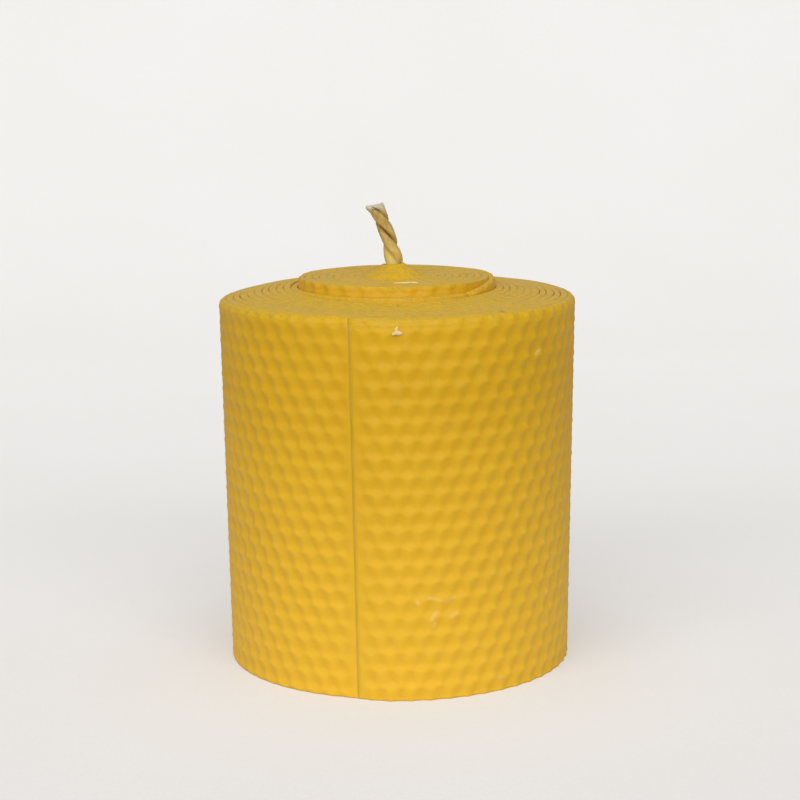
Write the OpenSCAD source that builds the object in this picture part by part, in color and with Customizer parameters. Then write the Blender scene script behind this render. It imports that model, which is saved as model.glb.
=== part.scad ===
// Rolled beeswax pillar candle. Strips of honeycomb-embossed wax foundation are
// wound one after another round a two-ply cotton wick. The core strips are cut
// taller than the outer ones, so the middle of the top stands proud.
// Millimetres, +Z up, origin at the centre of the base.

/* [Candle] */
// Outer diameter at half the rim's height
candle_d = 95.2; // [80:0.1:110]
// Height of the rim, the top edge of the outer turn
rim_h = 100; // [60:1:150]
// How much larger the outer radius is at the rim than at the base
flare = 1.6; // [0:0.1:3]
// Compass angle at which the first strip starts, from +X
start_angle = 52; // [-180:1:180]

/* [Wax strips] */
// Thickness of a strip over its cell walls
sheet_t = 1.45; // [1.3:0.05:2.4]
// Clearance between neighbouring turns
turn_gap = 0.44; // [0.41:0.01:0.8]
// Clearance between the ends of two strips that follow each other
butt_gap = 0.3; // [0.1:0.05:1]
// Length of the last strip that lies under its own end
lap = 40; // [10:1:80]
// Diameter of the core roll
core_d = 53; // [35:1:62]
// Height of the core strips above the rim
core_rise = 5.2; // [1:0.1:10]
// Further height of the first strip at the wick
tip_rise = 3.4; // [0:0.1:6]
// Radius at which that further height has run out
tip_r = 9; // [6:0.5:14]
// Height of the outer strips above the rim where they leave the core
inner_rise = 2.5; // [0:0.1:5]
// Chamfer on the rim's outer edge
rim_chamfer = 1; // [0.3:0.1:1.2]
// Thickness of the last strip at its end, which is pressed on to the roll
end_t = 0.7; // [0.4:0.1:1.3]
// Length over which that end is pressed thin
press_len = 14; // [6:1:40]

/* [Honeycomb] */
// Distance between the centres of neighbouring cells
cell_pitch = 5.3; // [4.8:0.1:6.4]
// Depth of a cell, from its highest corners to its lowest point
cell_depth = 0.95; // [0.3:0.05:1]
// Height of the lowest corners of cells
cell_base = 0.4; // [0.2:0.1:3]

/* [Wick] */
// Thickness of a ply, across the cord
ply_t = 2.15; // [1.5:0.05:2.6]
// Width of a ply, along the line where the two plies meet
ply_w = 3.3; // [2.4:0.05:3.8]
// Clearance between the two plies
ply_gap = 0.1; // [0.05:0.01:0.2]
// Clearance between the wick and the first turn of wax
wick_gap = 0.15; // [0.05:0.01:0.3]
// Height over which a ply goes once round the cord
lay = 13; // [8:0.5:20]
// Free length of wick above the wax
wick_free = 16.2; // [6:0.1:40]
// Sideways lean of the wick's tip, towards -X
wick_lean = 5.6; // [0:0.1:8]
// Share by which the cut end spreads
tip_spread = 0.25; // [0:0.05:0.4]
// Height over which the cut end spreads
tip_len = 3; // [1:0.5:6]

/* [Hidden] */
CORE_STRIPS = 3;
OUTER_STRIPS = 7;

WAX = [0.87, 0.66, 0.16];
COTTON = [0.84, 0.76, 0.58];

// The roll is an Archimedean spiral. Winding angles grow outwards, clockwise from above.
pitch = sheet_t + turn_gap;
plain_step = 15;
wick_r = ply_t + ply_gap / 2;

// The widest round space in the first turn, its eye, lies off the spiral's pole. These
// shares of the pitch give its place and how far it reaches past the strip's first edge.
eye_turn = 227;
eye_shift = 0.33 * pitch;
eye_gain = 0.26 * pitch;
first_r = wick_r + wick_gap - eye_gain + sheet_t / 2;

function winding_at(r) = 360 * (r - first_r) / pitch;
function roll_r(a) = first_r + pitch * a / 360;
function roll_length(a) = PI / 180 * a * (first_r + roll_r(a)) / 2;
function winding_of(length) =
    360 / pitch * (sqrt(first_r * first_r + pitch * length / PI) - first_r);

core_end = winding_at((core_d - sheet_t) / 2);
roll_end = winding_at((candle_d - sheet_t) / 2);
tip_end = winding_at(tip_r);
seam_start = roll_end - 360;
seam_angle = start_angle - roll_end;
last_start = winding_of(roll_length(seam_start) - lap);

// Winding angles between which each strip lies
core_joints = [for (i = [0:CORE_STRIPS])
    winding_of(roll_length(core_end) * i / CORE_STRIPS)];
outer_run = roll_length(last_start) - roll_length(core_end);
outer_joints = concat(
    [for (i = [0:OUTER_STRIPS - 1])
        winding_of(roll_length(core_end) + outer_run * i / (OUTER_STRIPS - 1))],
    [roll_end]
);

function butt_angle(a) = butt_gap / roll_r(a) * 180 / PI;
function flare_at(z) = 1 + 2 * flare / candle_d * (z / rim_h - 0.5);

// The pole is set off so that the roll's outline is centred on the origin.
function turned_back(angle) = angle - seam_angle - 360 * floor((angle - seam_angle) / 360);
function reach(angle) = roll_r(roll_end - turned_back(angle));
pole = flare_at(rim_h) / 2 * [reach(180) - reach(0), reach(-90) - reach(90)];
eye = pole + eye_shift * [cos(start_angle - eye_turn), sin(start_angle - eye_turn)];

function place(a, r, z) =
    let (t = start_angle - a, k = r * flare_at(z)) [pole.x + k * cos(t), pole.y + k * sin(t), z];

// A straight slanted cut lowers the top edge along the strip.
function core_top(a) = rim_h + core_rise + tip_rise * max(0, 1 - a / tip_end);
function outer_top(a) = rim_h + inner_rise * (roll_end - a) / (roll_end - core_end);

function steps(from, to, step) =
    let (n = ceil((to - from) / step)) [for (i = [0:n]) from + (to - from) * i / n];

// Winding angles along a strip. All turns have their corners at the same compass angles.
function stations(from, to) = concat(
    [from],
    [for (k = [floor(from / plain_step) + 1:ceil(to / plain_step) - 1]) k * plain_step],
    [to]
);

// Solid through rings that have the same number of points, closed at both ends.
// The quads' diagonals run up and down by turns, along the facets of the cells.
function rises(c) = c % 2 == 0;

module loft(rings, first_column = 0) {
    n = len(rings[0]);
    last = (len(rings) - 1) * n;
    sides = [for (i = [0:len(rings) - 2], j = [0:n - 1])
        let (k = (j + 1) % n, a = i * n + j, b = i * n + k, c = a + n, d = b + n)
        each rises(i + first_column) ? [[a, c, b], [b, c, d]] : [[a, d, b], [a, c, d]]];
    ends = [[for (j = [0:n - 1]) j], [for (j = [n - 1:-1:0]) last + j]];
    polyhedron([for (ring = rings) each ring], concat(sides, ends), convexity = 10);
}

function plain_ring(a, top) =
    let (inside = roll_r(a) - sheet_t / 2, outside = roll_r(a) + sheet_t / 2)
    [place(a, outside, 0), place(a, outside, top), place(a, inside, top), place(a, inside, 0)];

module core_strip(i) {
    from = core_joints[i - 1];
    to = core_joints[i] - butt_angle(core_joints[i]);
    color(WAX) loft([for (a = stations(from, to)) plain_ring(a, core_top(a))]);
}

module outer_strip(i) {
    from = outer_joints[i - 1];
    to = outer_joints[i] - butt_angle(outer_joints[i]);
    color(WAX) loft([for (a = stations(from, to)) plain_ring(a, outer_top(a))]);
}

// Least clearance between turns, at the base, where the roll is tightest
least_gap = min([for (a = [0:plain_step:seam_start])
    norm(place(a + 360, roll_r(a + 360) - sheet_t / 2, 0) - place(a, roll_r(a) + sheet_t / 2, 0))]);
echo(least_gap = least_gap);

// A cell is a hexagon that stands on a corner, with a floor of three rhombic facets. Its
// corners lie in columns half a cell apart. Going up, a column passes a saddle, a peak
// and the lowest point of a cell by turns. Odd columns are half a step higher.
corner_step = cell_pitch / sqrt(3);
cells_round = round(2 * PI * roll_r(roll_end - 180) / cell_pitch);
columns = 2 * cells_round;
EVEN_SINK = [0.5, 0, 1];
ODD_SINK = [1, 0.5, 0];

function cell_z(c, j) = cell_base + corner_step * (j + (c % 2) / 2);
function sink(c, j) = (c % 2 == 0 ? EVEN_SINK : ODD_SINK)[j % 3];

// Points in each column that lie below the rim's chamfer
column_top = rim_h - 2 * rim_chamfer;
column_points = len([for (j = [0:ceil(rim_h / corner_step)]) if (cell_z(1, j) < column_top) j]);

// Share of its thickness that the rim's chamfer may take from the last strip
RIM_SHARE = 0.75;

// Share by which the last strip is pressed thin, 1 at its end
function pressed(a) =
    pow(max(0, 1 - (roll_length(roll_end) - roll_length(a)) / press_len), 2);

// Section of the last strip: a column of points outside and a plain inner face.
function cell_ring(a, c, embossed) =
    let (
        top = outer_top(a),
        inside = roll_r(a) - sheet_t / 2,
        outside = roll_r(a) + sheet_t / 2 - (sheet_t - end_t) * pressed(a),
        depth = embossed ? cell_depth * (1 - pressed(a)) : 0,
        chamfer = min(rim_chamfer, RIM_SHARE * (outside - inside))
    )
    concat(
        [place(a, outside, 0)],
        [for (j = [0:column_points - 1])
            place(a, outside - depth * sink(c, j), cell_z(c, j))],
        [place(a, outside, top - chamfer), place(a, outside - chamfer, top)],
        [place(a, inside, top), place(a, inside, 0)]
    );

// The last strip covers the roll once. Its cells stop where its own end laps over it.
module last_strip() {
    buried = stations(last_start, seam_start);
    parity = len(buried) - 1;
    color(WAX) loft(
        concat(
            [for (k = [0:parity - 1]) cell_ring(buried[k], k + parity, false)],
            [for (c = [0:columns])
                cell_ring(seam_start + 360 * c / columns, c, c > 0 && c < columns)]
        ),
        parity
    );
}

// The wick stands upright in the eye of the roll, then curves over above the wax.
wick_top = core_top(0) + wick_free;
bend_power = 1.35;
function free_share(z) = max(0, (z - core_top(0)) / wick_free);
function wick_axis(z) = [eye.x - wick_lean * pow(free_share(z), bend_power), eye.y];
function spread_at(z) = 1 + tip_spread * max(0, 1 - (wick_top - z) / tip_len);

PLY_SIDES = 8;
RINGS_PER_LAY = 6;

// Left-hand lay: the ply turns clockwise from above as it rises.
function ply_ring(z, start) =
    let (turn = start - 360 * z / lay, k = spread_at(z), c = wick_axis(z))
    [for (j = [0:PLY_SIDES - 1])
        let (
            s = 360 * j / PLY_SIDES,
            x = k * ((ply_t + ply_gap) / 2 + ply_t / 2 * cos(s)),
            y = k * ply_w / 2 * sin(s)
        )
        [c.x + x * cos(turn) - y * sin(turn), c.y + x * sin(turn) + y * cos(turn), z]];

module wick_ply(i) {
    color(COTTON)
        loft([for (z = steps(0, wick_top, lay / RINGS_PER_LAY)) ply_ring(z, 180 * i)]);
}

for (i = [1:2])
    wick_ply(i);
for (i = [1:CORE_STRIPS])
    core_strip(i);
for (i = [1:OUTER_STRIPS - 1])
    outer_strip(i);
last_strip();
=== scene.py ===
"""Looks of a rolled beeswax pillar candle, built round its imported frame.

The roll is drawn in millimetres and written to the meshes in metres. Winding angles are
in degrees along the spiral of wax strips, growing outwards and clockwise from above.
Compass angles are in degrees from the front, growing to the right.
"""
import math

import bpy
import numpy as np
from mathutils import Matrix, Vector


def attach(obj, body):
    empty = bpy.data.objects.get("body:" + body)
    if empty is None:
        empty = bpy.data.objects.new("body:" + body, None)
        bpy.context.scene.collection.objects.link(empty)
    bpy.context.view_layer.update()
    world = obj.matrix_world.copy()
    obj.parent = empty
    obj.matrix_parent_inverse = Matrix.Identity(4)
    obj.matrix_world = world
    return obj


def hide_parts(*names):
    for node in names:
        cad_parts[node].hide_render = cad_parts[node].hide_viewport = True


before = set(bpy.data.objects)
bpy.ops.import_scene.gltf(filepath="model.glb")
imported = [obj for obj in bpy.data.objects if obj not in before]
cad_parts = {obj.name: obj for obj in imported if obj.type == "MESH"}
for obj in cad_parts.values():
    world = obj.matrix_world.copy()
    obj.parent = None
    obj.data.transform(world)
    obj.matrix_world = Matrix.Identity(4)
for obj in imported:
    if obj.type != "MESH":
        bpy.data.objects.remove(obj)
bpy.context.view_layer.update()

MM = 0.001
TAU = 2 * math.pi
random = np.random.default_rng(7)

# Driving sizes of the roll, as in the solids
CANDLE_D = 95.2
RIM_H = 100.0
FLARE = 1.6
START_ANGLE = 52.0
SHEET_T = 1.45
TURN_GAP = 0.44
PITCH = SHEET_T + TURN_GAP
CORE_D = 53.0
CORE_RISE = 5.2
TIP_RISE = 3.4
TIP_R = 9.0
INNER_RISE = 2.5
LAP = 40.0
WICK_R = 2.2
WICK_GAP = 0.15
CORE_STRIPS = 3
OUTER_STRIPS = 7
EYE_TURN = 227.0
EYE_SHIFT = 0.33 * PITCH
EYE_GAIN = 0.26 * PITCH
FIRST_R = WICK_R + WICK_GAP - EYE_GAIN + SHEET_T / 2

# The soft roll
SOFT_T = 1.885  # a strip's thickness with its cell walls squeezed against the next turn
SWELL = 1.02  # the soft roll is a little wider than its solids


def roll_r(a):
    return FIRST_R + PITCH * a / 360


def winding_at(r):
    return 360 * (r - FIRST_R) / PITCH


def roll_length(a):
    return np.radians(a) * (FIRST_R + roll_r(a)) / 2


def winding_of(length):
    return 360 / PITCH * (np.sqrt(FIRST_R**2 + PITCH * length / math.pi) - FIRST_R)


CORE_END = winding_at((CORE_D - SHEET_T) / 2)
ROLL_END = winding_at((CANDLE_D - SHEET_T) / 2)
TIP_END = winding_at(TIP_R)
SEAM_START = ROLL_END - 360
LAST_START = winding_of(roll_length(SEAM_START) - LAP)
SEAM_ANGLE = START_ANGLE - ROLL_END


def flare_at(z):
    return 1 + 2 * FLARE / CANDLE_D * (z / RIM_H - 0.5)


def reach(angle):
    return roll_r(ROLL_END - (angle - SEAM_ANGLE) % 360)


POLE = flare_at(RIM_H) / 2 * np.array([reach(180) - reach(0), reach(-90) - reach(90)])
EYE_ANGLE = math.radians(START_ANGLE - EYE_TURN)
EYE = POLE + EYE_SHIFT * np.array([math.cos(EYE_ANGLE), math.sin(EYE_ANGLE)])


def place(a, r, z):
    """Points at winding angle a, at radius r from the pole and height z."""
    t = np.radians(START_ANGLE - a)
    k = SWELL * r * flare_at(z)
    return np.stack([POLE[0] + k * np.cos(t), POLE[1] + k * np.sin(t), z + 0 * k], -1)


def core_top(a):
    return RIM_H + CORE_RISE + TIP_RISE * np.maximum(0, 1 - a / TIP_END)


def outer_top(a):
    return RIM_H + INNER_RISE * (ROLL_END - a) / (ROLL_END - CORE_END)


# Helpers for surfaces


def smooth(x, low, high):
    t = np.clip((x - low) / (high - low), 0, 1)
    return t * t * (3 - 2 * t)


RIPPLE_GAIN = 1.7  # brings a sum of waves to about -1 to 1


def ripple_field(dims, scale, count=9):
    """A function of smooth seeded unevenness from about -1 to 1, with features of that size."""
    ways = random.normal(size=(count, dims)) / scale * 2
    starts = random.uniform(0, TAU, count)

    def field(*coords):
        total = 0
        for way, start in zip(ways, starts):
            total = total + np.sin(sum(w * c for w, c in zip(way, coords)) + start)
        return total / count * RIPPLE_GAIN

    return field


def ripple(*coords, scale, count=7):
    return ripple_field(len(coords), scale, count)(*coords)


# Relief of a cell, with lengths in radii of its hexagon
HEX_SIDE = math.sqrt(3) / 2
FACET_SOFT = 0.09  # how softly the facets meet
FACET_HOLLOW = 0.336  # below 1 the facets are hollow and steepest at the cell's middle
CORNER_RISE = 0.26
CORNER_R = 0.3
WALL_RISE = 0.07
WALL_WIDE = 0.4
CELL_LOW = 0.48  # least and greatest height that these make
CELL_HIGH = 1.1


def nearest_cell(column, row):
    """Place relative to the middle of the nearest cell, in radii of its hexagon."""
    places = []
    for shift in (0, 1):
        j = np.floor(row) + shift
        aside = column - 0.5 * (j % 2)
        places.append((2 * HEX_SIDE * (aside - np.round(aside)), 1.5 * (row - j)))
    (x0, y0), (x1, y1) = places
    upper = x1**2 + y1**2 < x0**2 + y0**2
    return np.where(upper, x1, x0), np.where(upper, y1, y0)


def cell_relief(column, row):
    """Depth from 0 to 1 in a honeycomb, one column to a cell and rows half a cell out of step.

    A cell is a hexagon on a corner, with a floor of three soft facets, three raised corners
    and a slightly raised wall.
    """
    x, y = nearest_cell(column, row)
    facets = [-y, y / 2 + HEX_SIDE * x, y / 2 - HEX_SIDE * x]
    floor = FACET_SOFT * np.log(sum(np.exp(facet / FACET_SOFT) for facet in facets))
    corners = ((0, 1), (HEX_SIDE, -0.5), (-HEX_SIDE, -0.5))
    rise = sum(np.exp(-((x - p) ** 2 + (y - q) ** 2) / CORNER_R**2) for p, q in corners)
    slanted = np.maximum(np.abs(x / 2 + HEX_SIDE * y), np.abs(x / 2 - HEX_SIDE * y))
    out = np.maximum(np.abs(x), slanted)
    wall = np.exp(-(((1 - out / HEX_SIDE) / WALL_WIDE) ** 2))
    height = floor**FACET_HOLLOW + CORNER_RISE * rise + WALL_RISE * wall
    return np.clip((CELL_HIGH - height) / (CELL_HIGH - CELL_LOW), 0, 1)


def loft_faces(rings, n):
    """A cap at each end, then quads between rings of n points, which close round."""
    i, j = np.meshgrid(np.arange(rings - 1), np.arange(n), indexing="ij")
    a = i * n + j
    b = i * n + (j + 1) % n
    quads = np.stack([a, a + n, b + n, b], -1).reshape(-1, 4).tolist()
    last = (rings - 1) * n
    caps = [list(range(n)), [last + k for k in reversed(range(n))]]
    return caps + quads


def make_object(name, verts, faces, material, attributes=None, uv=None):
    """A piece of the candle in smooth shading, but for the two caps that come first."""
    mesh = bpy.data.meshes.new(name)
    mesh.from_pydata((np.asarray(verts) * MM).tolist(), [], faces)
    mesh.shade_smooth()
    for cap in list(mesh.polygons)[:2]:
        cap.use_smooth = False
    for key, values in (attributes or {}).items():
        mesh.attributes.new(key, "FLOAT", "POINT").data.foreach_set("value", values.ravel())
    if uv is not None:
        loops = np.empty(len(mesh.loops), np.int32)
        mesh.loops.foreach_get("vertex_index", loops)
        mesh.uv_layers.new(name="OFBake").data.foreach_set("uv", uv[loops].ravel())
    mesh.materials.append(material)
    piece = bpy.data.objects.new(name, mesh)
    bpy.context.collection.objects.link(piece)
    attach(piece, "root")
    return piece


# Materials

WAX_DEEP = (0.650, 0.364, 0.002)
WAX_GOLD = (0.700, 0.400, 0.004)
# painted light: paler wax near the foot, for light bounced up from the floor
WAX_BOUNCE_LIGHT = (0.930, 0.545, 0.030)
# painted shade: darker wax for the pits of the cells
WAX_CELL_SHADE = (0.650, 0.340, 0.002)
WAX_BLOOM = (0.74, 0.54, 0.14)
# pale wax on rubbed walls, also used for the painted highlight along the sheet's pressed end
WAX_RUBBED_AND_HIGHLIGHT = (0.88, 0.58, 0.20)
CUT_GOLD = (0.70, 0.420, 0.002)
CUT_DULL = (0.56, 0.370, 0.030)
COTTON_DARK = (0.44, 0.29, 0.07)
COTTON_PALE = (0.63, 0.48, 0.19)
COTTON_WAXED = (0.70, 0.53, 0.14)
# brown stain and painted shade for the groove between the plies
COTTON_STAIN_AND_SHADE = (0.30, 0.14, 0.018)
COTTON_CUT = (0.60, 0.54, 0.40)
SCRAP_GOLD = (0.76, 0.52, 0.17)
SCRAP_PALE = (0.84, 0.66, 0.33)
CLOTH_GREY = (0.590, 0.580, 0.570)
CLOTH_PALE = (0.610, 0.603, 0.596)
CLOTH_GLOW = (1.0, 0.98, 0.96, 1)
FRONT_GLOW = 0.19
BACK_GLOW = 0.43

# Sockets of the mix node for colours
MIX_FIRST = 6
MIX_SECOND = 7
MIX_RESULT = 2


class Nodes:
    """Short way to add nodes to a material."""

    def __init__(self, name):
        self.material = bpy.data.materials.new(name)
        self.material.use_nodes = True
        self.tree = self.material.node_tree
        self.shader = self.tree.nodes["Principled BSDF"]
        self.coords = self.tree.nodes.new("ShaderNodeTexCoord").outputs["Object"]

    def link(self, source, target):
        self.tree.links.new(source, target)

    def attribute(self, name):
        node = self.tree.nodes.new("ShaderNodeAttribute")
        node.attribute_name = name
        return node.outputs["Fac"]

    def noise(self, scale, detail=4.0, stretch=None):
        node = self.tree.nodes.new("ShaderNodeTexNoise")
        node.inputs["Scale"].default_value = scale
        node.inputs["Detail"].default_value = detail
        coords = self.coords
        if stretch:
            mapping = self.tree.nodes.new("ShaderNodeMapping")
            mapping.inputs["Scale"].default_value = stretch
            self.link(coords, mapping.inputs["Vector"])
            coords = mapping.outputs["Vector"]
        self.link(coords, node.inputs["Vector"])
        return node.outputs["Fac"]

    def place(self, axis):
        node = self.tree.nodes.new("ShaderNodeSeparateXYZ")
        self.link(self.coords, node.inputs["Vector"])
        return node.outputs[axis]

    def span(self, value, low, high, to_low=0.0, to_high=1.0):
        node = self.tree.nodes.new("ShaderNodeMapRange")
        node.inputs["From Min"].default_value = low
        node.inputs["From Max"].default_value = high
        node.inputs["To Min"].default_value = to_low
        node.inputs["To Max"].default_value = to_high
        self.link(value, node.inputs["Value"])
        return node.outputs["Result"]

    def multiply(self, first, second):
        node = self.tree.nodes.new("ShaderNodeMath")
        node.operation = "MULTIPLY"
        self.link(first, node.inputs[0])
        self.link(second, node.inputs[1])
        return node.outputs["Value"]

    def mix(self, factor, first, second):
        node = self.tree.nodes.new("ShaderNodeMix")
        node.data_type = "RGBA"
        self.link(factor, node.inputs["Factor"])
        for value, socket in ((first, node.inputs[MIX_FIRST]), (second, node.inputs[MIX_SECOND])):
            if isinstance(value, bpy.types.NodeSocket):
                self.link(value, socket)
            else:
                socket.default_value = (*value, 1)
        return node.outputs[MIX_RESULT]

    def bump(self, height, distance, strength, normal=None):
        node = self.tree.nodes.new("ShaderNodeBump")
        node.inputs["Distance"].default_value = distance
        node.inputs["Strength"].default_value = strength
        self.link(height, node.inputs["Height"])
        if normal:
            self.link(normal, node.inputs["Normal"])
        return node.outputs["Normal"]


def beeswax():
    """Golden wax: painted shade in the cells, painted bounce light towards the foot, paler where
    walls are rubbed, a painted highlight along the sheet's end, duller on cut edges.
    """
    m = Nodes("beeswax")
    tone = m.mix(m.span(m.noise(45), 0.3, 0.7), WAX_DEEP, WAX_GOLD)
    # painted bounce light from the floor: paler over the lowest 80 mm
    tone = m.mix(m.span(m.place("Z"), 0.08, 0.0, 0.0, 0.95), tone, WAX_BOUNCE_LIGHT)
    # painted shade in the pits, following the cell attribute
    tone = m.mix(m.span(m.attribute("cell"), 0.2, 1.0, 0.0, 0.1), tone, WAX_CELL_SHADE)
    tone = m.mix(m.span(m.noise(380, 6), 0.56, 0.8, 0.0, 0.12), tone, WAX_BLOOM)
    worn = m.mix(m.span(m.noise(480, 5), 0.36, 0.66), CUT_GOLD, CUT_DULL)
    tone = m.mix(m.span(m.attribute("edge"), 0.0, 1.0, 0.0, 0.75), tone, worn)
    # paler where walls are rubbed, and a painted highlight along the sheet's end
    tone = m.mix(m.span(m.attribute("rub_and_highlight"), 0.1, 0.8, 0.0, 0.7), tone, WAX_RUBBED_AND_HIGHLIGHT)
    m.link(tone, m.shader.inputs["Base Color"])
    m.link(m.span(m.noise(240), 0.3, 0.7, 0.46, 0.58), m.shader.inputs["Roughness"])
    m.shader.inputs["Specular IOR Level"].default_value = 0.3
    m.shader.inputs["Sheen Weight"].default_value = 0.06
    m.shader.inputs["Sheen Roughness"].default_value = 0.4
    m.shader.inputs["Subsurface Weight"].default_value = 0.1
    m.shader.inputs["Subsurface Radius"].default_value = (1.0, 0.45, 0.08)
    m.shader.inputs["Subsurface Scale"].default_value = 0.0013
    fine = m.bump(m.noise(2600, 3), 0.00008, 0.35)
    grain = m.bump(m.multiply(m.noise(900, 4), m.attribute("edge")), 0.0008, 0.8, fine)
    m.link(m.bump(m.noise(420, 3), 0.00025, 0.3, grain), m.shader.inputs["Normal"])
    return m.material


def cotton():
    """Cotton: waxed at the foot, with a brown stain and painted shade in the groove between the
    plies, pale at the cut end.
    """
    m = Nodes("waxed_cotton")
    yarn = m.span(m.noise(900, 5, (1, 1, 0.3)), 0.35, 0.7)
    tone = m.mix(yarn, COTTON_DARK, COTTON_PALE)
    tone = m.mix(m.span(m.attribute("waxed"), 0.0, 1.0, 0.0, 0.75), tone, COTTON_WAXED)
    # brown stain and painted shade in the groove between the plies
    tone = m.mix(m.attribute("groove"), tone, COTTON_STAIN_AND_SHADE)
    tone = m.mix(m.attribute("cut"), tone, COTTON_CUT)
    m.link(tone, m.shader.inputs["Base Color"])
    m.shader.inputs["Roughness"].default_value = 0.72
    m.shader.inputs["Specular IOR Level"].default_value = 0.25
    m.link(m.bump(m.noise(2400, 4, (1, 1, 0.4)), 0.00012, 0.5), m.shader.inputs["Normal"])
    return m.material


def pale_wax():
    """Crumbs of scraped wax."""
    m = Nodes("pale_wax")
    tone = m.mix(m.span(m.noise(900), 0.35, 0.65), SCRAP_GOLD, SCRAP_PALE)
    m.link(tone, m.shader.inputs["Base Color"])
    m.shader.inputs["Roughness"].default_value = 0.55
    m.link(m.bump(m.noise(3000), 0.0001, 0.4), m.shader.inputs["Normal"])
    return m.material


def pale_cloth():
    """The stage, which glows a little to the camera, more so at the back."""
    m = Nodes("pale_cloth")
    tone = m.mix(m.span(m.noise(9, 6), 0.3, 0.7), CLOTH_GREY, CLOTH_PALE)
    m.link(tone, m.shader.inputs["Base Color"])
    m.shader.inputs["Roughness"].default_value = 0.95
    m.shader.inputs["Specular IOR Level"].default_value = 0.1
    m.link(m.bump(m.noise(900, 5), 0.0004, 0.25), m.shader.inputs["Normal"])
    ray = m.tree.nodes.new("ShaderNodeLightPath").outputs["Is Camera Ray"]
    glow = m.span(m.place("Y"), -0.25, 0.5, FRONT_GLOW, BACK_GLOW)
    m.link(m.multiply(ray, glow), m.shader.inputs["Emission Strength"])
    m.shader.inputs["Emission Color"].default_value = CLOTH_GLOW
    return m.material


WAX = beeswax()
COTTON = cotton()
PALE_WAX = pale_wax()

# The top of the roll

turns_rise = ripple_field(3, 1.1)
edge_rise = ripple_field(1, 5)

TURN_LIFT = 0.13
BACK_LEFT = 250  # compass angle at which the ring is highest by the core and lowest at the rim
BACK_LEFT_WIDE = 45
BACK_LEFT_RISE = 0.7
BACK_LEFT_FALL = 1.3
FRONT_WIDE = 60
FRONT_DIP = 0.9  # depth to which the ring sinks in front of the core

# Open grooves: compass angle, radius, half the angle they run over and depth
GROOVES = [
    (-81, 40.7, 13, 1.0), (-96, 33.4, 15, 1.0), (-103, 29.5, 16, 1.0), (-96, 27.0, 14, 0.7),
    (113, 29.0, 20, 0.9), (86, 29.5, 12, 0.8), (87, 38.1, 12, 0.8), (87, 42.2, 11, 1.0),
    (150, 36.0, 25, 0.7), (-150, 42.0, 20, 0.6), (180, 20.0, 30, 0.6), (-70, 21.0, 16, 0.5),
    (80, 17.5, 16, 0.5), (100, 23.0, 14, 0.6),
]


def turned(angle):
    """The same angle between -180 and 180."""
    return (angle + 180) % 360 - 180


def gaping(a):
    """How far the grooves beside a turn are open, from 0 to 1."""
    total = 0 * a
    angle = START_ANGLE - a + 90
    for at, radius, spread, depth in GROOVES:
        mine = np.abs(roll_r(a) - radius) < PITCH / 2
        near = np.exp(-((turned(angle - at) / spread) ** 2))
        total = np.maximum(total, mine * depth * near)
    return total


def top_lift(a, r):
    """Unevenness of the top: the turns rise and sink, and the rim is lower at the back left."""
    t = np.radians(START_ANGLE - a)
    lift = TURN_LIFT * turns_rise(a / 360 * 0.5, np.cos(t), np.sin(t))
    angle = (START_ANGLE - a + 90) % 360
    left = np.exp(-(((angle - BACK_LEFT) / BACK_LEFT_WIDE) ** 2))
    front = np.exp(-((turned(angle) / FRONT_WIDE) ** 2))
    outer = smooth(r, 33, 45)
    ring = smooth(r, 26.0, 27.5)
    lift = lift + left * ring * (BACK_LEFT_RISE - BACK_LEFT_FALL * outer)
    return lift - FRONT_DIP * front * ring * (1 - outer)


# The strips inside the roll. A section runs up the outer face at the heights FEET and the
# drops DROPS below the top edge, over the top edge and down the inner face.

FEET = [0.0, 0.3, 1.0, 2.5, 10.0, 45.0, 80.0, 92.0]
DROPS = [6.0, 4.8, 4.0, 3.3, 2.7, 2.2, 1.8, 1.4, 1.05, 0.75, 0.5, 0.3, 0.15]
TOP_POINTS = 9
RISE = np.ones(len(FEET) + len(DROPS))
OVER_TOP = np.linspace(1, -1, TOP_POINTS + 2)[1:-1]
ACROSS = np.concatenate([RISE, OVER_TOP, -RISE])[None, :]
NO_FEET = [np.nan] * len(FEET)
NO_DROPS = [np.nan] * (2 * len(DROPS) + TOP_POINTS)
DROP = np.array(NO_FEET + DROPS + [0.0] * TOP_POINTS + DROPS[::-1] + NO_FEET)
FOOT = np.array(FEET + NO_DROPS + FEET[::-1])

STATION = 0.75  # distance between sections along a strip
OVERLAP = 0.05  # length that a strip reaches into the next one
CELL_W = 5.3
ROW_H = 4.6
CELL_DEPTH = 0.77
CORE_CELL_DEPTH = 1.2 * CELL_DEPTH
CORE_ROW = 0.2  # rows between the core's top edge and the middle of a cell
CORE_FADE = 30.0  # length over which the core's last strip sinks to the ring
CORE_ROUND = 0.6  # rounding of the core's bare edge
BARE_FROM = 375  # degrees before the strip's end between which its outer face gets bare
BARE_BY = 345
TURN_GROOVE = 0.015
OPEN_GROOVE = 0.3
OPEN_GAP = 0.12


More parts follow.
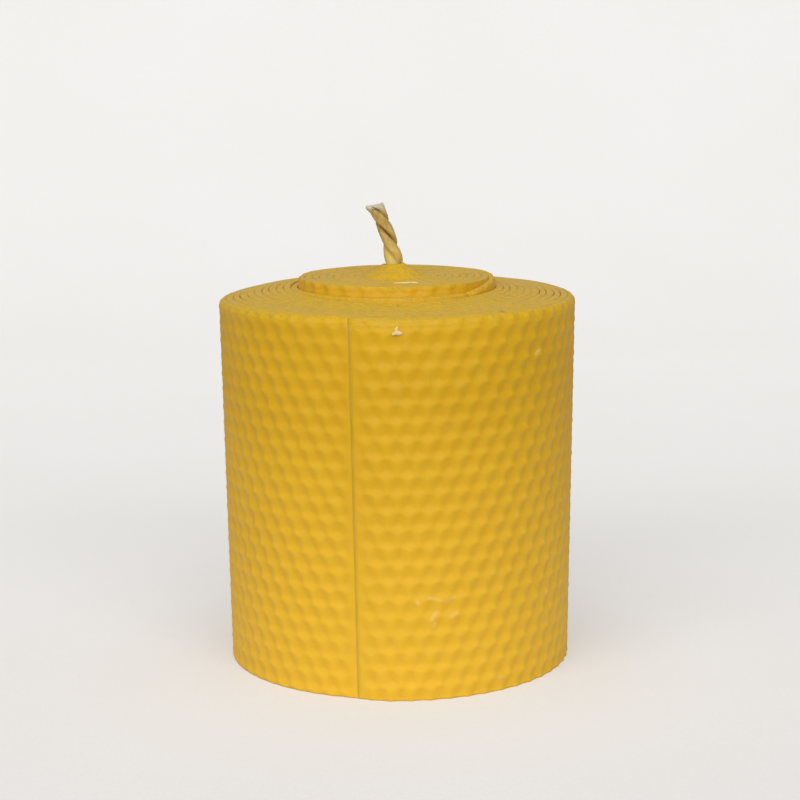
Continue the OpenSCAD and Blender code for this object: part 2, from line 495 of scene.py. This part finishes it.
def wound_strip(node, start, end, top_of, row_phase, bare_edge=False):
    """One of the strips inside the roll, of which the top and bottom edges show.

    With a bare edge its last turn stands free at the top: it has cells on its outer face,
    a rounded edge, and an end that sinks to the ring outside it.
    """
    length0 = roll_length(start)
    length1 = roll_length(end) + OVERLAP
    length = np.linspace(length0, length1, int((length1 - length0) / STATION) + 2)[:, None]
    a = winding_of(length)
    gape = gaping(a)
    bare = smooth(a, end - BARE_FROM, end - BARE_BY) * bare_edge
    sunk = np.clip((length - (length1 - CORE_FADE)) / CORE_FADE, 0, 1) ** 2 * bare_edge
    offset = ACROSS * (SOFT_T / 2) + 0 * length
    wobble = top_lift(a, roll_r(a)) + 0.06 * edge_rise(length)
    wobble = wobble - (core_top(a) - outer_top(CORE_END) - 0.1) * sunk
    top = top_of(a + 360 * offset / PITCH) + wobble
    top = top - (TURN_GROOVE + OPEN_GROOVE * gape) * np.abs(ACROSS) ** 5
    top = top - CORE_ROUND * bare * np.clip(ACROSS, 0, 1) ** 3
    z = np.where(np.isnan(DROP), FOOT, top - np.nan_to_num(DROP))
    below = z - top_of(a) - wobble
    near_top = smooth(below, -4.6, -3.4)
    column = length / CELL_W + random.uniform()
    row = below / ROW_H + row_phase
    outside = cell_relief(column, row) * np.clip(ACROSS, 0, 1)
    inside = cell_relief(column + 0.5, row) * np.clip(-ACROSS, 0, 1)
    gap = OPEN_GAP * gape * smooth(below, -3.0, -0.5) * np.sign(ACROSS) * np.abs(ACROSS) ** 3
    notch = near_top * (CORE_CELL_DEPTH * bare * (1 - sunk) * outside)
    points = place(a, roll_r(a) + offset - notch - gap, z)
    # depth of the cells near the top edge, which the wax also uses to paint shade into the pits
    cell = near_top * (outside + inside)
    edge = np.where(np.abs(ACROSS) < 1, 1.0, smooth(below, -1.2, -0.2))
    strip_object(node, points, cell, edge, 0 * cell)


def strip_object(node, points, cell, edge, rub_and_highlight):
    rings, n = points.shape[:2]
    along, round_it = np.meshgrid(np.linspace(0, 1, rings), np.linspace(0, 1, n), indexing="ij")
    uv = np.stack([along, round_it], -1).reshape(-1, 2)
    looks = {"cell": cell, "edge": edge, "rub_and_highlight": rub_and_highlight}
    verts = points.reshape(-1, 3)
    piece = make_object(node + "_wax", verts, loft_faces(rings, n), WAX, looks, uv)
    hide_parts(node)


# Lattice of the cells on the wall, measured on both sides of the seam: distance along the
# wall from the front and height of the first cell, cell width, row height, and climb
WALL_R = CANDLE_D / 2
ROUND = TAU * WALL_R
RIGHT_LATTICE = (5.14, 0.93, 5.28, 4.66, 0.010)
LEFT_LATTICE = (4.89, 7.86, 5.18, 4.62, 0.015)
LEFT_COLUMN = 57.5  # column and row of the left lattice's first cell
LEFT_ROW = 1
BLEND_FROM = 70  # compass angles between which the right lattice passes into the left one
BLEND_TO = 280
WHOLE_TURNS = 360 * round((ROLL_END - START_ANGLE - 90) / 360)


def compass(a):
    """Compass angle on the last turn, where it falls from 345 to -15, the seam."""
    return START_ANGLE + 90 + WHOLE_TURNS - a


def lattice_at(u, z, first_u, first_z, wide, high, climb):
    return (u - first_u) / wide, (z - first_z - climb * u) / high


def wall_lattice(angle, z):
    """Column and row of the honeycomb at compass angles from the seam round to it again."""
    u = np.radians(angle) * WALL_R
    right = lattice_at(u, z, *RIGHT_LATTICE)
    left = lattice_at(u - ROUND, z, *LEFT_LATTICE)
    w = smooth(angle, BLEND_FROM, BLEND_TO)
    column = (1 - w) * right[0] + w * (left[0] + LEFT_COLUMN)
    row = (1 - w) * right[1] + w * (left[1] + LEFT_ROW)
    return column, row


# Places where the walls of cells are rubbed pale, as compass angle and height of the middle,
# the slant, half the length and half the width in millimetres, and the strength
RUBBED = [
    (5.4, 26.5, 120, 0.5, 0.4, 0.8), (10.2, 27.4, 165, 1.1, 0.35, 0.8),
    (12.0, 27.0, 150, 0.7, 0.3, 0.6), (16.0, 26.8, 25, 1.4, 0.35, 0.8),
    (10.6, 22.6, 55, 1.2, 0.4, 1.0), (17.1, 22.5, 35, 1.0, 0.35, 0.9),
    (10.7, 20.2, 60, 0.4, 0.35, 1.0), (16.2, 30.2, 110, 0.5, 0.3, 0.4),
    (34.0, 3.7, 0, 0.8, 0.35, 0.9), (57.0, 14.9, 60, 0.6, 0.4, 0.8),
    (56.0, 22.9, 60, 0.6, 0.4, 0.7), (54.1, 37.5, 60, 0.6, 0.4, 0.7),
    (49.0, 88.8, 40, 0.7, 0.4, 0.8),
]


def rubbed(angle, z):
    total = 0 * z
    for at, height, slant, half_long, half_wide, strength in RUBBED:
        x = np.radians(angle - at) * WALL_R
        y = z - height
        along = x * math.cos(math.radians(slant)) + y * math.sin(math.radians(slant))
        aside = y * math.cos(math.radians(slant)) - x * math.sin(math.radians(slant))
        past = np.maximum(0, np.abs(along) - half_long)
        total = np.maximum(total, strength * np.exp(-(past**2 + aside**2) / half_wide**2))
    return total


# The last strip

LAP_SECTIONS = 20
TURN_SAMPLES = 4000
FRONT_COLUMNS = 8  # sections to a cell within FRONT_HALF degrees of the front
BACK_COLUMNS = 6
FRONT_HALF = 80
WALL_LEVELS = 226
RIM_POINTS = 8
RIM_ROUND = 1.5
RIM_SHARE = 0.95  # share of its thickness that the rim's rounding takes
RIM_ROW_H = 4.65
EDGE_SLOPE = 0.11  # fall of the top edges over half the thickness of a strip
END_T = 0.12
LEAST_T = 0.25  # thickness that the cells leave
PRESS_LEN = 11.0
SEAM_LEAN = 1.2  # degrees from the foot to the rim
LEAN_LEN = 50
WEAR = 0.18
WALL_UNEVEN = 0.06
INNER_LEVEL = 50  # height of the points halfway up the inner face


def last_windings():
    """Winding angles of the last strip's sections: few under the lap, then some to each cell."""
    lap = np.linspace(roll_length(LAST_START), roll_length(SEAM_START), LAP_SECTIONS)[:-1]
    turn = np.linspace(SEAM_START, ROLL_END, TURN_SAMPLES)
    column = wall_lattice(compass(turn), 0 * turn)[0]
    seen = []
    for count, at_front in ((FRONT_COLUMNS, True), (BACK_COLUMNS, False)):
        first = math.ceil(column[-1] * count) + 1
        columns = np.arange(first, column[0] * count - 1) / count
        at = np.interp(-columns, -column, turn)
        seen.append(at[(np.abs(turned(compass(at))) < FRONT_HALF) == at_front])
    seen = np.sort(np.concatenate(seen))
    return np.concatenate([winding_of(lap), [SEAM_START], seen, [ROLL_END]])


def last_strip(node):
    """The strip that covers the roll, with its cells, rounded rim and pressed end."""
    a = last_windings()[:, None]
    angle = compass(a)
    length = roll_length(a)
    to_end = roll_length(ROLL_END) - length
    past_seam = length - roll_length(SEAM_START)
    pressed = np.clip(1 - to_end / PRESS_LEN, 0, 1) ** 2
    shown = smooth(past_seam, 0, 2)
    bare = smooth(past_seam, -3, 0)
    unpressed = smooth(to_end, 0.8, 2.2)

    top = outer_top(a) + top_lift(a, roll_r(a)) + 0.05 * edge_rise(length)
    z_wall = np.linspace(0, 1, WALL_LEVELS)[None, :] * (top - RIM_ROUND)
    below = z_wall - top
    end_wave = ripple(z_wall, scale=7)
    end_t = END_T * (1 - 0.9 * smooth(z_wall, 87, 96)) * (0.8 + 0.5 * end_wave)
    thick = SOFT_T + (end_t - SOFT_T) * pressed
    inner = roll_r(a) - SOFT_T / 2
    outer = inner + thick

    column, row = wall_lattice(angle + 0 * z_wall, z_wall)
    worn = 1 - WEAR * np.clip(ripple(length, z_wall, scale=18), 0, 1)
    depth = cell_relief(column, row) * shown * unpressed * worn
    depth = depth * (1 - 0.3 * smooth(below, -2.6, -1.5))
    uneven = WALL_UNEVEN * ripple(length, z_wall, scale=24) * shown
    r_wall = outer - np.clip(thick - LEAST_T, 0, CELL_DEPTH) * depth - np.clip(uneven, 0, 1)

    bend = np.linspace(0, math.pi / 2, RIM_POINTS)[None, 1:]
    z_rim = top - RIM_ROUND * (1 - np.sin(bend)) - EDGE_SLOPE * (1 - bare) * np.sin(bend)
    rim_row = (z_rim - z_wall[:, -1:]) / RIM_ROW_H + row[:, -1:]
    bumps = cell_relief(column[:, -1:] + 0 * z_rim, rim_row) * (shown * unpressed) * np.cos(bend)
    r_rim = outer[:, -1:] - RIM_SHARE * bare * thick[:, -1:] * (1 - np.cos(bend))
    r_rim = r_rim - 0.9 * CELL_DEPTH * bumps

    over = np.array([[0.1, 0.5, 0.9]])
    z_edge = top + EDGE_SLOPE
    z_over = z_rim[:, -1:] + (z_edge - z_rim[:, -1:]) * over
    r_over = r_rim[:, -1:] + (inner - r_rim[:, -1:]) * over
    z_face = np.concatenate([z_edge, top - 3, 0 * top + INNER_LEVEL, 0 * top], 1)

    z = np.concatenate([z_wall, z_rim, z_over, z_face], 1)
    r = np.concatenate([r_wall, r_rim, r_over, inner + 0 * z_face], 1)
    lean = SEAM_LEAN * (z / RIM_H - 1) * smooth(to_end, LEAN_LEN, 0)
    past_wall = 0 * z[:, WALL_LEVELS:]
    # depth of the cells on the wall, which the wax also uses to paint shade into the pits
    cell = np.concatenate([depth, past_wall], 1)
    shoulder = 0.4 * smooth(below, -3.0, -1.5)
    rim_edge = 0.4 + 0.6 * np.sin(bend) + 0 * z_rim
    edge = np.concatenate([shoulder, rim_edge, 1 + 0 * z_over, 1 + 0 * z_face], 1)
    # painted highlight: a pale line along the pressed end of the sheet, mixed in with the rubbed
    # walls
    end_highlight = 0.3 * smooth(to_end, 1.3, 0.3) * (1 + 0.6 * end_wave)
    rub_and_highlight = np.concatenate([np.maximum(rubbed(angle, z_wall), end_highlight), past_wall], 1)
    strip_object(node, place(a + lean, r, z), cell, edge, rub_and_highlight)


core_length = roll_length(CORE_END)
core_joints = [winding_of(core_length * i / CORE_STRIPS) for i in range(CORE_STRIPS + 1)]
for i in range(CORE_STRIPS):
    wound_strip(f"core_strip_{i + 1}", core_joints[i], core_joints[i + 1], core_top, CORE_ROW,
                bare_edge=i == CORE_STRIPS - 1)

PLAIN_STRIPS = OUTER_STRIPS - 1
outer_run = roll_length(LAST_START) - core_length
outer_joints = [winding_of(core_length + outer_run * i / PLAIN_STRIPS)
                for i in range(PLAIN_STRIPS + 1)]
for i in range(PLAIN_STRIPS):
    wound_strip(f"outer_strip_{i + 1}", outer_joints[i], outer_joints[i + 1], outer_top,
                random.uniform())

last_strip(f"outer_strip_{OUTER_STRIPS}")

# The wick

LAY = 13.0
WICK_FREE = 16.2
WICK_LEAN = 5.2
WICK_ASIDE = 0.45
BEND_POWER = 1.5
TIP_SPREAD = 0.06
TIP_LEN = 3.0
CUT_SLANT = 0.24
WAX_TOP = RIM_H + CORE_RISE + TIP_RISE
WICK_TOP = WAX_TOP + WICK_FREE
SOFT_PLY_T = 2.55  # the plies' cotton swells into the groove between them
SOFT_PLY_W = 3.5
PLY_AT = 0.95
PLY_POINTS = 40
YARNS = 11
YARN_TURN = 1.9
STAIN_AND_SHADE_AT = 117.0
STAIN_AND_SHADE_LEN = 2.6


def wick_axis(z):
    share = np.maximum(0, (z - WAX_TOP) / WICK_FREE)
    return EYE[0] + WICK_ASIDE - WICK_LEAN * share**BEND_POWER, EYE[1] + 0 * share


def ply(index):
    """One twisted strand with ridges of yarn, spreading at its slanted cut end."""
    buried = np.linspace(0, WAX_TOP - 4, 80)
    z = np.concatenate([buried, np.linspace(WAX_TOP - 3.8, WICK_TOP, 90)])[:, None]
    s = np.linspace(0, TAU, PLY_POINTS, endpoint=False)[None, :]
    free = smooth(z, WAX_TOP - 1, WAX_TOP + 1)
    near_cut = smooth(z, WICK_TOP - 3.0, WICK_TOP)
    soaked = smooth(z, WAX_TOP + 6, WAX_TOP + 1.5)
    spread = 1 + TIP_SPREAD * np.maximum(0, 1 - (WICK_TOP - z) / TIP_LEN)
    yarn = 1 + 0.03 * np.cos(YARNS * s + YARN_TURN * z)
    yarn = yarn + 0.05 * free * ripple(2 * np.cos(s), 2 * np.sin(s), z, scale=1.6)
    fullness = 1 + 0.07 * free * ripple(z, scale=4)
    x = spread * (PLY_AT + (1 + 0.2 * soaked) * SOFT_PLY_T / 2 * np.cos(s) * yarn * fullness)
    y = spread * SOFT_PLY_W / 2 * np.sin(s) * yarn * fullness
    turn = math.pi * index - TAU * z / LAY
    across = x * np.cos(turn) - y * np.sin(turn)
    deep = x * np.sin(turn) + y * np.cos(turn)
    frayed = 0.3 * ripple(3 * np.cos(s), 3 * np.sin(s), scale=1.0)
    ragged = near_cut * (CUT_SLANT * across + frayed - 0.45)
    cx, cy = wick_axis(z)
    points = np.stack([cx + across, cy + deep, z + ragged], -1)
    # painted shade along the groove of the free wick, with a brown stain, strongest at
    # STAIN_AND_SHADE_AT
    stain_and_shade = 0.25 * (1 - soaked) + 0.75 * np.exp(-(((z - STAIN_AND_SHADE_AT) / STAIN_AND_SHADE_LEN) ** 2))
    looks = {
        "groove": smooth(-x / SOFT_PLY_T, -0.55, 0.05) * stain_and_shade,
        "cut": smooth(z + 0.25 * across, WICK_TOP - 2.0, WICK_TOP - 0.3),
        "waxed": 1 - smooth(z, WAX_TOP + 1, WAX_TOP + 9) + 0 * s,
    }
    faces = loft_faces(*points.shape[:2])
    node = f"wick_ply_{index}"
    piece = make_object(node + "_cotton", points.reshape(-1, 3), faces, COTTON, looks)
    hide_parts(node)


FIBRES = 70
FIBRE_RINGS = 4
FIBRE_SIDES = 5
FIBRE_R = 0.12


def frayed_fibres():
    """Short loose fibres on the cut end of the wick."""
    verts = []
    faces = []
    tip_x, tip_y = wick_axis(np.array(WICK_TOP))
    sides = np.linspace(0, TAU, FIBRE_SIDES, endpoint=False)
    for _ in range(FIBRES):
        spot = random.uniform(0, TAU)
        out = math.sqrt(random.uniform()) * WICK_R * 1.05
        aside = out * math.cos(spot)
        foot = WICK_TOP - 1.3 + CUT_SLANT * aside
        base = np.array([tip_x + aside, tip_y + out * math.sin(spot), foot])
        lean = np.array([math.cos(spot), math.sin(spot), 0]) * random.uniform(0.05, 0.6)
        lean = lean + random.normal(size=3) * 0.15
        height = random.uniform(0.5, 1.3)
        start = len(verts)
        for k in range(FIBRE_RINGS):
            t = k / (FIBRE_RINGS - 1)
            centre = base + np.array([0, 0, height * t]) + lean * t * t
            width = FIBRE_R * (1 - 0.75 * t)
            verts += [centre + width * np.array([math.cos(q), math.sin(q), 0]) for q in sides]
        faces += [[start + q for q in face] for face in loft_faces(FIBRE_RINGS, FIBRE_SIDES)]
    bare = np.zeros(len(verts))
    looks = {"groove": bare, "cut": bare + 1, "waxed": bare}
    make_object("wick_fibres", np.array(verts), faces, COTTON, looks)


for i in (1, 2):
    ply(i)
frayed_fibres()

# Scraps of pale wax, one on the wall below the rim and one on the core. Each lump has a
# sideways and upward offset, a slant, a length and a width in millimetres.
WALL_SCRAP = [
    (-0.1, 0.6, 1.0, 1.5, 1.0), (0.35, -0.3, -0.25, 2.6, 1.1), (-0.6, -0.45, 0.5, 1.7, 0.9),
]
CORE_SCRAP = [
    (-1.3, 0.0, -0.2, 3.6, 0.34), (1.9, 0.6, -0.3, 3.2, 0.3), (0.4, 0.7, 0.5, 1.4, 0.3),
]
WALL_SCRAP_Z = 97.1
CORE_SCRAP_X = 2.4
CORE_SCRAP_Y = -16.2
SCRAP_SINK = 0.1
SCRAP_T = 0.38
SCRAP_ROUGH = 0.45
SCRAP_RINGS = 9
SCRAP_SIDES = 10


def lump(at, side, up, out, dx, dy, slant, long, wide):
    """Points of an uneven ellipsoid at a place, with its directions to the side, up and out."""
    uneven = ripple_field(3, 0.55)
    half = np.array([long / 2, wide / 2, 0.4])
    points = []
    for k in range(SCRAP_RINGS):
        lat = math.pi * ((k + 0.5) / SCRAP_RINGS - 0.5)
        for q in range(SCRAP_SIDES):
            lon = TAU * q / SCRAP_SIDES
            flat = math.cos(lat)
            p = np.array([math.sin(lat), flat * math.cos(lon), flat * math.sin(lon)])
            p = p * (1 + SCRAP_ROUGH * uneven(*(p * half)))
            x = dx + p[0] * long / 2 * math.cos(slant) - p[1] * wide / 2 * math.sin(slant)
            y = dy + p[0] * long / 2 * math.sin(slant) + p[1] * wide / 2 * math.cos(slant)
            points.append(at + side * x + up * y + out * p[2] * SCRAP_T)
    return points


def scraps():
    x_way, y_way, z_way = np.eye(3)
    front_r = SWELL * (reach(-90) + SOFT_T / 2 - SCRAP_SINK) * flare_at(WALL_SCRAP_Z)
    front = np.array([0.0, POLE[1] - front_r, WALL_SCRAP_Z])
    core = np.array([CORE_SCRAP_X, CORE_SCRAP_Y, RIM_H + CORE_RISE - SCRAP_SINK])
    lumps = [lump(front, x_way, z_way, -y_way, *part) for part in WALL_SCRAP]
    lumps += [lump(core, x_way, y_way, z_way, *part) for part in CORE_SCRAP]
    faces = []
    for k, points in enumerate(lumps):
        start = k * len(points)
        faces += [[start + v for v in face] for face in loft_faces(SCRAP_RINGS, SCRAP_SIDES)]
    make_object("wax_scraps", np.concatenate(lumps), faces, PALE_WAX)


scraps()

# Stage, light and camera, in metres

FLOOR_FRONT = -2.5
SWEEP_AT = 0.55
SWEEP_R = 0.5
SWEEP_STEPS = 14
BACKDROP_TOP = 2.6
BACKDROP_HALF = 3.0

STUDIO_TINT = (1.0, 0.99, 0.975, 1)
STUDIO_LEVEL = 0.36
LIGHT_AIM = (0, 0, 0.05)
KEY_AT = (-0.1, -1.2, 0.92)
KEY_SIZE = (2.6, 0.6)
KEY_ENERGY = 19.5
TOP_AT = (0.0, -0.1, 1.6)
TOP_SIZE = (1.2, 1.2)
TOP_ENERGY = 5

# The camera fitted to the photograph's outline
LENS = 94.15
SENSOR = 36
CAMERA_AT = (0.0006, -0.5664, 0.17403)
TILT_DOWN = 10.33
ROLL = -0.52


def backdrop():
    """A pale floor that sweeps up behind the candle."""
    profile = [(FLOOR_FRONT, 0.0), (SWEEP_AT, 0.0)]
    for t in np.linspace(0.1, math.pi / 2, SWEEP_STEPS):
        profile.append((SWEEP_AT + SWEEP_R * math.sin(t), SWEEP_R - SWEEP_R * math.cos(t)))
    profile.append((SWEEP_AT + SWEEP_R, BACKDROP_TOP))
    verts = [(x, y, z) for x in (-BACKDROP_HALF, BACKDROP_HALF) for y, z in profile]
    count = len(profile)
    faces = [[k, count + k, count + k + 1, k + 1] for k in range(count - 1)]
    mesh = bpy.data.meshes.new("backdrop")
    mesh.from_pydata(verts, [], faces)
    mesh.shade_smooth()
    mesh.materials.append(pale_cloth())
    floor = bpy.data.objects.new("backdrop", mesh)
    bpy.context.collection.objects.link(floor)


def area_light(name, place_at, size, energy):
    data = bpy.data.lights.new(name, "AREA")
    data.shape = "RECTANGLE"
    data.size, data.size_y = size
    data.energy = energy
    lamp = bpy.data.objects.new(name, data)
    bpy.context.collection.objects.link(lamp)
    way = Vector(place_at) - Vector(LIGHT_AIM)
    turn = way.to_track_quat("Z", "Y").to_matrix().to_4x4()
    lamp.matrix_world = Matrix.Translation(place_at) @ turn


def lighting():
    world = bpy.data.worlds.new("studio")
    world.use_nodes = True
    background = world.node_tree.nodes["Background"]
    background.inputs["Color"].default_value = STUDIO_TINT
    background.inputs["Strength"].default_value = STUDIO_LEVEL
    bpy.context.scene.world = world
    area_light("key", KEY_AT, KEY_SIZE, KEY_ENERGY)
    area_light("top", TOP_AT, TOP_SIZE, TOP_ENERGY)


def camera():
    data = bpy.data.cameras.new("camera")
    data.lens = LENS
    data.sensor_width = SENSOR
    eye = bpy.data.objects.new("camera", data)
    bpy.context.collection.objects.link(eye)
    tilt = Matrix.Rotation(math.radians(90 - TILT_DOWN), 4, "X")
    roll = Matrix.Rotation(math.radians(ROLL), 4, "Z")
    eye.matrix_world = Matrix.Translation(CAMERA_AT) @ tilt @ roll
    bpy.context.scene.camera = eye


backdrop()
lighting()
camera()
bpy.context.scene.view_settings.view_transform = "Standard"
